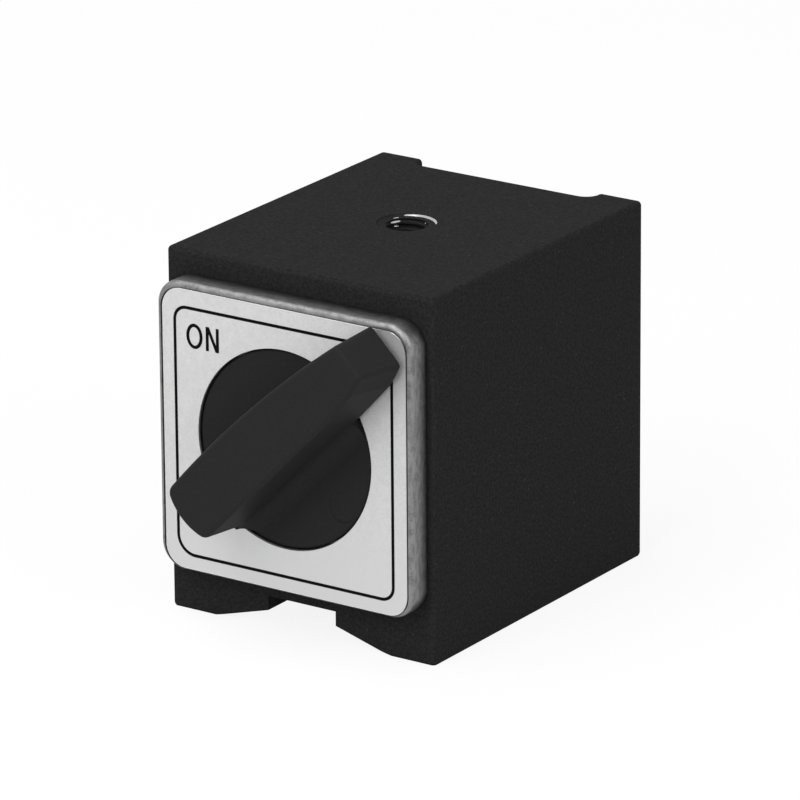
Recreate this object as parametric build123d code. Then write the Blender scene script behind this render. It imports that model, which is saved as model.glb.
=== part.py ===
from build123d import *

import os
from math import asin, cos, degrees, radians, sin

# Switchable magnetic holding block, in millimetres.
# +Z is up and the knob faces -Y. The origin is at the bottom centre of the whole object: on the mid
# plane in X, on the ground faces in Z, and half-way along the overall depth, lever included, in Y.

# ---- driving dimensions ------------------------------------------------------------------------
BODY_WIDTH = 50.0
BODY_DEPTH = 60.0
BODY_HEIGHT = 60.0
BODY_EDGE = 0.7  # rounding of the upright corners
TOP_EDGE = 0.6  # rounding round the top
GROUND_EDGE = 0.6  # rounding round the outside of the ground faces

FOOT_WIDTH = 8.2  # ground flat of each foot
GROOVE_WIDTH = 13.2  # slot between the pole blocks, and width of the spacer bars
GROOVE_HEIGHT = 5.5  # ground to the ceiling of the slot
VEE_RISE = 2.9  # height at which the V flank meets the slot

RAIL_WIDTH = 7.9  # upright rails at the back
RAIL_HEIGHT = 3.0
RAIL_COVE = 2.1  # inner rounding between rail and back
RAIL_EDGE = 0.7

AXIS_HEIGHT = 32.2  # rotor and knob axis above the ground
BORE_RADIUS = 16.0
PRESS_GAP = 0.02  # drawn between a pressed piece and its hole
RUNNING_FIT = 0.05  # radial play of each journal

THREAD_RADIUS = 3.35  # wall of the tapped M8 hole
THREAD_DEPTH = 10.0
SPOT_FACE_RADIUS = 4.9  # shallow seat cut round the hole
SPOT_FACE_DEPTH = 0.2

PLATE_SIZE = 48.0
PLATE_CENTRE_HEIGHT = 32.4
PLATE_THICKNESS = 4.5
PLATE_CORNER = 4.25
PLATE_EDGE = 0.8
PLATE_OPENING = 16.4  # radius of the hole for the knob's disc
COUNTERBORE_RADIUS = 20.2
COUNTERBORE_DEPTH = 2.2

LABEL_WIDTH = 46.1
LABEL_HEIGHT = 46.55
LABEL_DROP = 0.38  # centre of the label below the plate's
LABEL_CORNER = 3.6
LABEL_THICKNESS = 0.4
LABEL_RECESS = 0.5
LABEL_GAP = 0.2

PLATE_SCREW_SPREAD = 19.5  # from the plate's mid lines to each screw
PLATE_SCREW_LENGTH = 12.0
PLATE_SCREW_RADIUS = 1.45
PLATE_SCREW_HEAD = 2.8
SMALL_SCREW_RADIUS = 1.2
SMALL_SCREW_HEAD = 2.2
SCREW_PLAY = 0.05

DISC_RADIUS = 16.0
DISC_SINK = 0.5  # from the label plane back to the face of the disc
DISC_THICKNESS = 2.4
DISC_EDGE = 0.5
MARK_RADIUS = 2.5  # shallow round ejector mark on the disc
MARK_DEPTH = 0.15
MARK_PLACE = (10.6, -7.6)  # x and z from the knob axis

LEVER_HEIGHT = 10.6  # front of the lever above the label plane
LEVER_CLEARANCE = 1.2  # underside of the pointer above the label plane
LEVER_TAIL = 16.3  # end of the tail behind the axis
TAIL_RADIUS = 10.3  # the tail's end, seen from the front
TAIL_MIDDLE = 1.3  # its centre, across the lever
LEVER_ANGLE = 45.0  # pointer at rest, from +X towards +Z
LEVER_BULGE = 190.0  # radius of the long upper side
LEVER_REACH = 6.6  # furthest point of that side from the axis
LEVER_REACH_AT = -1.0  # where that point is, along the lever
LEVER_DRAFT = 0.45  # how much further out that side is at the root
LEVER_ROOT_SIDE = [(-18.0, -4.85), (17.4, -4.8), (25.6, -4.5), (29.4, -3.4)]
LEVER_FRONT_SIDE = [(-18.0, -3.8), (17.4, -3.65), (24.9, -3.0), (28.8, -2.1)]
LEVER_CORNER = 1.8  # upright corners of the tail
POINTER_CORNER = 0.9  # upright corners of the pointer
LEVER_EDGE = 0.7  # edge of the front face
COVE_BELOW = 3.2  # hollow rounding between the lever and the disc, on its lower side
COVE_ABOVE = 1.2
COVE_WALL = {"below": -4.52, "above": 6.3}  # where each cove starts at the disc face

FLANGE_RADIUS = 19.6
FLANGE_THICKNESS = 1.4
NOTCH_RADIUS = 16.7
KNOB_TRAVEL = 90.0
NOTCH_PLAY = 0.3  # between the stop pin and the end of the notch
TONGUE_WIDTH = 4.0
TONGUE_LENGTH = 14.0
TONGUE_DEPTH = 2.8
SLOT_DEPTH = 3.0
SLOT_PLAY = 0.05
KNOB_SCREW_SPREAD = 8.5
KNOB_SCREW_OFFSET = 0.8
KNOB_SCREW_LENGTH = 8.5

STOP_PIN_RADIUS = 1.25
STOP_PIN_ORBIT = 18.2
STOP_PIN_ANGLE = -45.0
STOP_PIN_DEPTH = 6.0
STOP_PIN_STAND = 1.5

SEAL_THICKNESS = 0.5
SEAL_INNER = 16.8
SEAL_OUTER = 19.2

ROTOR_RADIUS = 15.6
JOURNAL_RADIUS = 12.0
JOURNAL_LENGTH = 5.0
JOURNAL_GAP = 0.2  # end play at each end of a journal
FRONT_CAP_THICKNESS = 3.0
REAR_CAP_THICKNESS = 2.0
REAR_JOURNAL_RADIUS = 4.0
REAR_JOURNAL_LENGTH = 3.6
MAGNET_NAMES = ["front_magnet", "middle_magnet", "rear_magnet"]
MAGNET_LENGTH = 14.0
MAGNET_HEIGHT = 12.0
MAGNET_WIDTH = 28.0
TIE_X = 8.0
TIE_Z = 10.6
TIE_REACH = 2.0  # thread of each tie screw in the front cap

PLUG_THICKNESS = 4.0
REAR_BUSH_RADIUS = 6.0
REAR_BUSH_LENGTH = 3.2
SPRING_INNER = 6.6
SPRING_OUTER = 11.0
SPRING_SHEET = 0.3
SPRING_RISE = 0.3
SPRING_GAP = 0.1

# ---- derived places ----------------------------------------------------------------------------
OVERALL_DEPTH = BODY_DEPTH + PLATE_THICKNESS + LEVER_HEIGHT
BACK_Y = OVERALL_DEPTH / 2
FRONT_Y = BACK_Y - BODY_DEPTH  # front of the pole blocks
LABEL_Y = FRONT_Y - PLATE_THICKNESS  # label plane, at the plate's rim
MID_Y = (FRONT_Y + BACK_Y) / 2
FLOOR_Y = BACK_Y - RAIL_HEIGHT  # back of the body between the rails
HALF_WIDTH = BODY_WIDTH / 2
HALF_GROOVE = GROOVE_WIDTH / 2
PLATE_RISE = PLATE_CENTRE_HEIGHT - AXIS_HEIGHT
LABEL_RISE = PLATE_RISE - LABEL_DROP
DISC_FACE_Y = LABEL_Y + DISC_SINK
FLANGE_Y = DISC_FACE_Y + DISC_THICKNESS
FLANGE_BACK_Y = FLANGE_Y + FLANGE_THICKNESS
JOURNAL_Y = FRONT_Y + JOURNAL_GAP
CAP_Y = JOURNAL_Y + JOURNAL_LENGTH
POLE_Y = CAP_Y + FRONT_CAP_THICKNESS
POLE_LENGTH = len(MAGNET_NAMES) * MAGNET_LENGTH
REAR_CAP_Y = POLE_Y + POLE_LENGTH
REAR_JOURNAL_Y = REAR_CAP_Y + REAR_CAP_THICKNESS
PLUG_Y = FLOOR_Y - PLUG_THICKNESS
PIN_X = STOP_PIN_ORBIT * cos(radians(STOP_PIN_ANGLE))
PIN_Z = STOP_PIN_ORBIT * sin(radians(STOP_PIN_ANGLE))
FAR = 200.0  # longer than any piece, for cutting tools


# ---- helpers -----------------------------------------------------------------------------------
def seen_from_front(y, z=AXIS_HEIGHT):
    """Sketch plane at y: its X is +X, its Y is +Z, and a negative extrusion goes back along +Y."""
    return Plane(origin=(0, y, z), x_dir=(1, 0, 0), z_dir=(0, -1, 0))


def disc(radius, y, length, x=0.0, z=0.0):
    """Cylinder from y backwards, at (x, z) from the knob axis."""
    return extrude(seen_from_front(y) * Pos(x, z) * Circle(radius), amount=-length)


def ring(outer, inner, y, length):
    """Tube about the knob axis."""
    return disc(outer, y, length) - disc(inner, y - 1, length + 2)


def block(x_range, y_range, z_range):
    """Box from its two limits along each axis."""
    limits = [x_range, y_range, z_range]
    size = [high - low for low, high in limits]
    centre = [(high + low) / 2 for low, high in limits]
    return Pos(*centre) * Box(*size)


def rounded_slab(width, height, corner, y, length, rise=0.0):
    """Slab with round corners, centred rise above the knob axis."""
    outline = seen_from_front(y) * Pos(0, rise) * RectangleRounded(width, height, corner)
    return extrude(outline, amount=-length)


def countersunk(radius, head, length):
    """Screw along +Y with the flat of its head at the origin and a hexagon socket in it."""
    cone = head - radius
    tip = radius / 3
    outline = Polyline(
        (0, 0), (head, 0), (radius, cone), (radius, length - tip), (radius - tip, length), (0, length),
        close=True,
    )
    socket = extrude(seen_from_front(0, 0) * RegularPolygon(radius * 0.6, 6), amount=-cone * 0.7)
    return revolve(make_face(outline), axis=Axis.Y) - socket


def countersink(radius, head, y, x, z, length):
    """Cutter for a countersunk hole whose mouth is at y, running backwards."""
    cone = head - radius
    mouth = [(0, -1), (head, -1), (head, 0)]
    outline = Polyline(*mouth, (radius, cone), (radius, length), (0, length), close=True)
    return Pos(x, y, AXIS_HEIGHT + z) * revolve(make_face(outline), axis=Axis.Y)


def turned(solid):
    """The same solid pointing the other way along Y."""
    return Rot(180, 0, 0) * solid


def plate_screw_places():
    """(x, z from the knob axis) of the four plate screws."""
    spread = PLATE_SCREW_SPREAD
    return [(x, PLATE_RISE + z) for x in (-spread, spread) for z in (-spread, spread)]


def tie_places():
    """(x, z from the knob axis) of the four tie screws."""
    return [(x, z) for x in (-TIE_X, TIE_X) for z in (-TIE_Z, TIE_Z)]


def knob_screw_places():
    """(x, z from the knob axis) of the two knob screws, which lie along the lever."""
    along = Vector(cos(radians(LEVER_ANGLE)), sin(radians(LEVER_ANGLE)))
    across = Vector(-along.Y, along.X)
    places = [along * s + across * KNOB_SCREW_OFFSET for s in (-KNOB_SCREW_SPREAD, KNOB_SCREW_SPREAD)]
    return [(place.X, place.Y) for place in places]


# ---- body --------------------------------------------------------------------------------------
def round_level(solid, height, radius):
    """Rounds every edge at that height except those where two pieces of the body meet."""

    def on_outside(edge):
        limits = edge.bounding_box()
        at_height = abs(limits.min.Z - height) < 0.01 and limits.size.Z < 0.01
        at_seam = abs(abs(edge.center().X) - HALF_GROOVE) < 0.01
        return at_height and not at_seam

    return fillet(solid.edges().filter_by(on_outside), radius)


def pole_block(side):
    """Steel half of the body on one side: 1 is +X and -1 is -X."""
    rail_x = HALF_WIDTH - RAIL_WIDTH
    corners = [(HALF_WIDTH, FRONT_Y), (HALF_WIDTH, BACK_Y)]
    seam = [(HALF_GROOVE, FLOOR_Y), (HALF_GROOVE, FRONT_Y)]
    plan = make_face(Polyline(*corners, (rail_x, BACK_Y), (rail_x, FLOOR_Y), *seam, close=True))
    roundings = {(HALF_WIDTH, FRONT_Y): BODY_EDGE, (HALF_WIDTH, BACK_Y): BODY_EDGE}
    roundings.update({(rail_x, BACK_Y): RAIL_EDGE, (rail_x, FLOOR_Y): RAIL_COVE})
    for place, radius in roundings.items():
        plan = fillet(plan.vertices().sort_by_distance((*place, 0))[0], radius)
    profile = Polyline(
        (HALF_GROOVE, VEE_RISE),
        (HALF_WIDTH - FOOT_WIDTH, 0),
        (HALF_WIDTH + 1, 0),
        (HALF_WIDTH + 1, BODY_HEIGHT),
        (HALF_GROOVE, BODY_HEIGHT),
        close=True,
    )
    solid = round_level(extrude(plan, amount=BODY_HEIGHT), 0, GROUND_EDGE)
    solid &= extrude(seen_from_front(FRONT_Y - 1, 0) * make_face(profile), amount=-(BODY_DEPTH + 2))
    solid = round_level(solid, BODY_HEIGHT, TOP_EDGE)
    solid -= disc(BORE_RADIUS, FRONT_Y - 1, BODY_DEPTH)
    for x, z in plate_screw_places():
        if x > 0:
            hole = PLATE_SCREW_RADIUS + SCREW_PLAY
            solid -= disc(hole, FRONT_Y - 1, PLATE_SCREW_LENGTH - 2, x, z)
    if side > 0:
        solid -= disc(STOP_PIN_RADIUS + PRESS_GAP, FRONT_Y - 1, STOP_PIN_DEPTH + 1, PIN_X, PIN_Z)
    return solid if side > 0 else mirror(solid, about=Plane.YZ)


def top_spacer():
    """Non-magnetic bar over the bore, which carries the tapped hole."""
    bar = block((-HALF_GROOVE, HALF_GROOVE), (FRONT_Y, FLOOR_Y), (AXIS_HEIGHT, BODY_HEIGHT))
    bar = round_level(bar, BODY_HEIGHT, TOP_EDGE)
    bar -= disc(BORE_RADIUS, FRONT_Y - 1, BODY_DEPTH)
    seat = Cylinder(SPOT_FACE_RADIUS, 2 * SPOT_FACE_DEPTH)
    return bar - Pos(0, MID_Y, BODY_HEIGHT) * (seat + Cylinder(THREAD_RADIUS, 2 * THREAD_DEPTH))


def bottom_spacer():
    """Non-magnetic bar under the bore, whose underside is the ceiling of the slot."""
    bar = block((-HALF_GROOVE, HALF_GROOVE), (FRONT_Y, FLOOR_Y), (GROOVE_HEIGHT, AXIS_HEIGHT))
    return bar - disc(BORE_RADIUS, FRONT_Y - 1, BODY_DEPTH)


def rear_plug():
    """Disc that closes the bore at the back, with a blind seat for the rear bush."""
    plug = disc(BORE_RADIUS - PRESS_GAP, PLUG_Y, PLUG_THICKNESS)
    return plug - disc(REAR_BUSH_RADIUS + PRESS_GAP, PLUG_Y - 1, REAR_BUSH_LENGTH + 1)


def rear_bush():
    return ring(REAR_BUSH_RADIUS, REAR_JOURNAL_RADIUS + RUNNING_FIT, PLUG_Y, REAR_BUSH_LENGTH)


def front_bush():
    return ring(BORE_RADIUS - PRESS_GAP, JOURNAL_RADIUS + RUNNING_FIT, FRONT_Y, JOURNAL_LENGTH)


def stop_pin():
    """Dowel in the right pole block that stands into the notch of the drive flange."""
    pin = disc(STOP_PIN_RADIUS, FRONT_Y - STOP_PIN_STAND, STOP_PIN_STAND + STOP_PIN_DEPTH, PIN_X, PIN_Z)
    return chamfer(pin.edges().filter_by(GeomType.CIRCLE), 0.3)


def cover_plate():
    """Cast square plate: label recess in front, round opening, and a counterbore behind."""
    plate = rounded_slab(PLATE_SIZE, PLATE_SIZE, PLATE_CORNER, LABEL_Y, PLATE_THICKNESS, PLATE_RISE)
    front_edges = plate.edges().filter_by(lambda edge: abs(edge.center().Y - LABEL_Y) < 0.01)
    plate = fillet(front_edges, PLATE_EDGE)
    recess = [size + 2 * LABEL_GAP for size in (LABEL_WIDTH, LABEL_HEIGHT)]
    plate -= rounded_slab(*recess, LABEL_CORNER + LABEL_GAP, LABEL_Y - 1, LABEL_RECESS + 1, LABEL_RISE)
    plate -= disc(PLATE_OPENING, LABEL_Y - 1, PLATE_THICKNESS + 2)
    plate -= disc(COUNTERBORE_RADIUS, FRONT_Y - COUNTERBORE_DEPTH, COUNTERBORE_DEPTH + 1)
    for x, z in plate_screw_places():
        radius = PLATE_SCREW_RADIUS + SCREW_PLAY
        head = PLATE_SCREW_HEAD + SCREW_PLAY
        plate -= countersink(radius, head, LABEL_Y + LABEL_RECESS, x, z, PLATE_THICKNESS + 1)
    return plate


def label_plate():
    """Thin sheet in the recess of the cover plate, just below its rim."""
    face_y = LABEL_Y + LABEL_RECESS - LABEL_THICKNESS
    sheet = rounded_slab(LABEL_WIDTH, LABEL_HEIGHT, LABEL_CORNER, face_y, LABEL_THICKNESS, LABEL_RISE)
    return sheet - disc(PLATE_OPENING, face_y - 1, LABEL_THICKNESS + 2)


def plate_screws():
    screw = countersunk(PLATE_SCREW_RADIUS, PLATE_SCREW_HEAD, PLATE_SCREW_LENGTH)
    y = LABEL_Y + LABEL_RECESS
    return Compound([Pos(x, y, AXIS_HEIGHT + z) * screw for x, z in plate_screw_places()])


def dust_seal():
    """Felt ring against the web of the cover plate, in front of the drive flange."""
    return ring(SEAL_OUTER, SEAL_INNER, FRONT_Y - COUNTERBORE_DEPTH, SEAL_THICKNESS)


# ---- knob --------------------------------------------------------------------------------------
# The lever is drawn lying flat: X along the pointer, Y across it and Z outwards from the label plane.
def lever():
    """Lever and pointer, with leaning sides and a rounded tail."""
    far_side = [(LEVER_ROOT_SIDE[-1][0], FAR / 4), (LEVER_ROOT_SIDE[0][0], FAR / 4)]
    far_front = [(LEVER_FRONT_SIDE[-1][0], FAR / 4), (LEVER_FRONT_SIDE[0][0], FAR / 4)]
    root = make_face(Polyline(*LEVER_ROOT_SIDE, *far_side, close=True))
    front = make_face(Polyline(*LEVER_FRONT_SIDE, *far_front, close=True))
    solid = loft([Pos(0, 0, -DISC_SINK) * root, Pos(0, 0, LEVER_HEIGHT) * front], ruled=True)
    height = 2 * FAR
    bulge_place = Pos(LEVER_REACH_AT, LEVER_REACH - LEVER_BULGE, (LEVER_HEIGHT - DISC_SINK) / 2)
    solid &= bulge_place * Cone(LEVER_BULGE + LEVER_DRAFT, LEVER_BULGE, LEVER_HEIGHT + DISC_SINK)
    tail_centre = TAIL_RADIUS - LEVER_TAIL
    rest = Pos(tail_centre + FAR / 2, 0, 0) * Box(FAR, FAR, height)
    solid &= Pos(tail_centre, TAIL_MIDDLE, 0) * Cylinder(TAIL_RADIUS, height) + rest
    solid = fillet(upright_corners(solid, on_tail=True), LEVER_CORNER)
    solid = fillet(upright_corners(solid, on_tail=False), POINTER_CORNER)
    solid = fillet(solid.faces().sort_by(Axis.Z)[-1].edges(), LEVER_EDGE)
    return solid - under_pointer()


def upright_corners(solid, on_tail):
    """Edges from the root to the front of the lever, at its tail or at its pointer."""

    def wanted(edge):
        tall = edge.bounding_box().size.Z > LEVER_HEIGHT / 2
        place = edge.center().X
        return tall and (place < -LEVER_TAIL / 2 if on_tail else place > LEVER_ROOT_SIDE[2][0])

    return solid.edges().filter_by(wanted)


def under_pointer():
    """Cutter for the space between the label and the pointer, outside the disc."""
    height = LEVER_CLEARANCE + DISC_SINK + 1
    outside = Cylinder(FAR / 2, height) - Cylinder(DISC_RADIUS - DISC_EDGE, height)
    return Pos(0, 0, LEVER_CLEARANCE - height / 2) * outside


def cove(wall, radius, side):
    """Hollow rounding along the lever's root; side is 1 above the lever and -1 below it."""
    foot = (wall + side * radius, -DISC_SINK)
    top = (wall, radius - DISC_SINK)
    bend = radius * (1 - sin(radians(45)))
    middle = (wall + side * bend, bend - DISC_SINK)
    inner = wall - side * radius
    hollow = ThreePointArc(foot, middle, top)
    rest = Polyline(top, (inner, top[1]), (inner, -DISC_SINK), foot)
    outline = make_face([hollow, rest])
    across = Plane(origin=(-LEVER_TAIL, 0, 0), x_dir=(0, 1, 0), z_dir=(1, 0, 0))
    bar = extrude(across * outline, amount=2 * LEVER_TAIL)
    return bar & Cylinder(DISC_RADIUS - DISC_EDGE, FAR)


def knob():
    """Moulded disc with its lever, and two pilot holes in the back."""
    plate = Pos(0, 0, -DISC_SINK - DISC_THICKNESS / 2) * Cylinder(DISC_RADIUS, DISC_THICKNESS)
    plate = fillet(plate.edges().sort_by(Axis.Z)[-1], DISC_EDGE)
    solid = plate + lever()
    solid += cove(COVE_WALL["below"], COVE_BELOW, -1)
    solid += cove(COVE_WALL["above"], COVE_ABOVE, 1)
    along = (cos(radians(LEVER_ANGLE)), 0, sin(radians(LEVER_ANGLE)))
    place = Plane(origin=(0, LABEL_Y, AXIS_HEIGHT), x_dir=along, z_dir=(0, -1, 0))
    solid = place.location * solid
    for x, z in knob_screw_places():
        pilot = disc(SMALL_SCREW_RADIUS + SCREW_PLAY, FLANGE_Y - KNOB_SCREW_LENGTH, FAR, x, z)
        solid -= pilot
    solid -= disc(MARK_RADIUS, DISC_FACE_Y - 1, MARK_DEPTH + 1, *MARK_PLACE)
    return solid


def knob_screws():
    screw = turned(countersunk(SMALL_SCREW_RADIUS, SMALL_SCREW_HEAD, KNOB_SCREW_LENGTH))
    return Compound([Pos(x, FLANGE_BACK_Y, AXIS_HEIGHT + z) * screw for x, z in knob_screw_places()])


def drive_flange():
    """Steel disc behind the knob, with the notch that limits the turn and a tongue behind."""
    flange = disc(FLANGE_RADIUS, FLANGE_Y, FLANGE_THICKNESS)
    flange += block(
        (-TONGUE_LENGTH / 2, TONGUE_LENGTH / 2),
        (FLANGE_BACK_Y - 0.5, FLANGE_BACK_Y + TONGUE_DEPTH),
        (AXIS_HEIGHT - TONGUE_WIDTH / 2, AXIS_HEIGHT + TONGUE_WIDTH / 2),
    )
    half_pin = degrees(asin((STOP_PIN_RADIUS + NOTCH_PLAY) / STOP_PIN_ORBIT))
    start = STOP_PIN_ANGLE - KNOB_TRAVEL - half_pin
    sweep = KNOB_TRAVEL + 2 * half_pin
    rim = CenterArc((0, 0), COUNTERBORE_RADIUS, start, sweep)
    root = CenterArc((0, 0), NOTCH_RADIUS, start, sweep)
    notch = make_face([rim, root, Line(rim @ 0, root @ 0), Line(rim @ 1, root @ 1)])
    flange -= extrude(seen_from_front(FLANGE_Y - 1) * notch, amount=-(FLANGE_THICKNESS + 2))
    for x, z in knob_screw_places():
        radius = SMALL_SCREW_RADIUS + SCREW_PLAY
        cutter = turned(countersink(radius, SMALL_SCREW_HEAD + SCREW_PLAY, 0, 0, -AXIS_HEIGHT, FAR))
        flange -= Pos(x, FLANGE_BACK_Y, AXIS_HEIGHT + z) * cutter
    return flange


# ---- rotor -------------------------------------------------------------------------------------
def rotor_front_cap():
    """Brass disc with the front journal, whose slot takes the flange's tongue."""
    cap = disc(JOURNAL_RADIUS, JOURNAL_Y, JOURNAL_LENGTH + 1)
    cap += disc(ROTOR_RADIUS, CAP_Y, FRONT_CAP_THICKNESS)
    half_slot = TONGUE_WIDTH / 2 + SLOT_PLAY
    cap -= block(
        (-ROTOR_RADIUS, ROTOR_RADIUS),
        (JOURNAL_Y - 1, JOURNAL_Y + SLOT_DEPTH),
        (AXIS_HEIGHT - half_slot, AXIS_HEIGHT + half_slot),
    )
    for x, z in tie_places():
        hole = SMALL_SCREW_RADIUS + SCREW_PLAY
        cap -= disc(hole, POLE_Y - TIE_REACH - SCREW_PLAY, FAR, x, z)
    return cap


def rotor_rear_cap():
    """Brass disc with the rear journal, and countersinks for the tie screws."""
    cap = disc(ROTOR_RADIUS, REAR_CAP_Y, REAR_CAP_THICKNESS)
    cap += disc(REAR_JOURNAL_RADIUS, REAR_CAP_Y, REAR_CAP_THICKNESS + REAR_JOURNAL_LENGTH)
    for x, z in tie_places():
        radius = SMALL_SCREW_RADIUS + SCREW_PLAY
        cutter = turned(countersink(radius, SMALL_SCREW_HEAD + SCREW_PLAY, 0, 0, -AXIS_HEIGHT, FAR))
        cap -= Pos(x, REAR_JOURNAL_Y, AXIS_HEIGHT + z) * cutter
    return cap


def rotor_pole(side):
    """Steel segment above (1) or below (-1) the magnets at rest."""
    segment = disc(ROTOR_RADIUS, POLE_Y, POLE_LENGTH)
    flat = AXIS_HEIGHT + side * MAGNET_HEIGHT / 2
    beyond = flat + side * FAR
    segment &= block((-FAR, FAR), (-FAR, FAR), (min(flat, beyond), max(flat, beyond)))
    for x, z in tie_places():
        if z * side > 0:
            segment -= disc(SMALL_SCREW_RADIUS + SCREW_PLAY, POLE_Y - 1, POLE_LENGTH + 2, x, z)
    return segment


def magnet(index):
    """One of the ferrite blocks between the two segments."""
    start = POLE_Y + index * MAGNET_LENGTH
    half = MAGNET_HEIGHT / 2
    return block(
        (-MAGNET_WIDTH / 2, MAGNET_WIDTH / 2),
        (start, start + MAGNET_LENGTH),
        (AXIS_HEIGHT - half, AXIS_HEIGHT + half),
    )


def rotor_tie_screws():
    length = REAR_CAP_THICKNESS + POLE_LENGTH + TIE_REACH
    screw = turned(countersunk(SMALL_SCREW_RADIUS, SMALL_SCREW_HEAD, length))
    return Compound([Pos(x, REAR_JOURNAL_Y, AXIS_HEIGHT + z) * screw for x, z in tie_places()])


def thrust_spring():
    """Dished washer round the rear journal, between the rotor and the rear plug."""
    start = REAR_JOURNAL_Y + SPRING_GAP
    outline = Polyline(
        (SPRING_INNER, 0),
        (SPRING_INNER, SPRING_SHEET),
        (SPRING_OUTER, SPRING_SHEET + SPRING_RISE),
        (SPRING_OUTER, SPRING_RISE),
        close=True,
    )
    return Pos(0, start, AXIS_HEIGHT) * revolve(make_face(outline), axis=Axis.Y)


# ---- nodes -------------------------------------------------------------------------------------
def all_nodes():
    nodes = {
        "pole_block_left": pole_block(-1),
        "pole_block_right": pole_block(1),
        "top_spacer": top_spacer(),
        "bottom_spacer": bottom_spacer(),
        "rear_plug": rear_plug(),
        "rear_bush": rear_bush(),
        "front_bush": front_bush(),
        "stop_pin": stop_pin(),
        "cover_plate": cover_plate(),
        "label_plate": label_plate(),
        "plate_screws": plate_screws(),
        "dust_seal": dust_seal(),
        "knob": knob(),
        "knob_screws": knob_screws(),
        "drive_flange": drive_flange(),
        "rotor_front_cap": rotor_front_cap(),
        "rotor_rear_cap": rotor_rear_cap(),
        "rotor_pole_upper": rotor_pole(1),
        "rotor_pole_lower": rotor_pole(-1),
        "rotor_tie_screws": rotor_tie_screws(),
        "thrust_spring": thrust_spring(),
    }
    for index, name in enumerate(MAGNET_NAMES):
        nodes[name] = magnet(index)
    return nodes


os.makedirs("parts", exist_ok=True)
for name, shape in all_nodes().items():
    export_step(shape, f"parts/{name}.step")
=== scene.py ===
import logging
import math
from dataclasses import dataclass
from enum import Enum
from functools import cache
from typing import Any, Iterable, Sequence

import bmesh
import bpy
from mathutils import Matrix, Vector


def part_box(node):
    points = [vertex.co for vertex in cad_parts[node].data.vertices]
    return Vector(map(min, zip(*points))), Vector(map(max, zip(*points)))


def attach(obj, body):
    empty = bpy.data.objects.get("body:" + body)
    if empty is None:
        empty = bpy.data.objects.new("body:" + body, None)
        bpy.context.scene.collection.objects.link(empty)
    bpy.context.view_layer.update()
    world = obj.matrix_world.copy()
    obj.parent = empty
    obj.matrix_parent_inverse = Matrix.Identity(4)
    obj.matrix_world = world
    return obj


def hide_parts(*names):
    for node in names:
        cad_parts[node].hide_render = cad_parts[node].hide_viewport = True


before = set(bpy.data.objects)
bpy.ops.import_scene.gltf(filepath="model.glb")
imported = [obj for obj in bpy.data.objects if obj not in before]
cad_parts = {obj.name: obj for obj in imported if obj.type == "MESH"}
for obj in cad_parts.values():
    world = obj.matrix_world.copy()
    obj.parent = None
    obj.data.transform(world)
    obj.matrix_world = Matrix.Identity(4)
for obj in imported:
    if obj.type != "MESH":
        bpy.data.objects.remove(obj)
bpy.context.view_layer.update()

log = logging.getLogger("magnetic_base")

# Meshes are drawn in millimetres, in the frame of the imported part, and scaled to metres at the end.
MM = 0.001
RIGHT_ANGLE = math.pi / 2
TURN = 2 * math.pi
# How far a cutter reaches past the face that it opens.
PAST = 1.0
# Points that lie closer than this are one point.
WELD = 1e-5
# Edges that bend by more than this stay sharp. On the others the large faces rule the shading.
SHARP = math.radians(32)
LARGE_FACES_RULE = 100
Point = tuple[float, float]
Socket = bpy.types.NodeSocket
Piece = bpy.types.Object


# ---- frame -------------------------------------------------------------------------------------
def corners(node: str) -> tuple[Vector, Vector]:
    """Box of a CAD node.

    Args:
        node: its name.

    Returns:
        Its lowest and highest corner in millimetres.
    """
    low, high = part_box(node)
    return low / MM, high / MM


def bore_axis() -> Point:
    """Place of the axis of the bore and the knob, as x and z."""
    low, high = corners("rear_plug")
    return (0.0, (low.z + high.z) / 2)


# ---- outlines ----------------------------------------------------------------------------------
def arc(centre: Point, radius: float, start: float, end: float, steps: int) -> list[Point]:
    """Points along part of a circle.

    Args:
        centre: centre of the circle.
        radius: its radius.
        start: first angle in radians.
        end: last angle in radians.
        steps: number of parts that the arc is divided into.

    Returns:
        steps + 1 points, both ends among them.
    """
    angles = [start + (end - start) * step / steps for step in range(steps + 1)]
    return [(centre[0] + radius * math.cos(a), centre[1] + radius * math.sin(a)) for a in angles]


def ring(centre: Point, radius: float, steps: int) -> list[Point]:
    """Points round a whole circle, each of them once."""
    return arc(centre, radius, 0.0, TURN, steps)[:-1]


def rolled(edge: float, steps: int, growth: float = 0.0) -> list[Point]:
    """Rounded edge between a wall and a face.

    Args:
        edge: radius of the edge.
        steps: number of parts that it is divided into.
        growth: how far outside the wall and the face it is drawn, about the same centre.

    Returns:
        Pairs from the wall to the face: how far in from the wall, and how far below the face.
    """
    angles = [RIGHT_ANGLE * step / steps for step in range(steps + 1)]
    radius = edge + growth
    return [(edge - radius * math.cos(a), edge - radius * math.sin(a)) for a in angles]


def between(start: Point, end: Point, steps: int) -> list[Point]:
    """Points inside a straight run.

    Args:
        start: its start, which isn't returned.
        end: its end, which isn't returned.
        steps: number of parts that the run is divided into.

    Returns:
        steps - 1 points.
    """
    shares = [step / steps for step in range(1, steps)]
    run = (end[0] - start[0], end[1] - start[1])
    return [(start[0] + run[0] * share, start[1] + run[1] * share) for share in shares]


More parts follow.
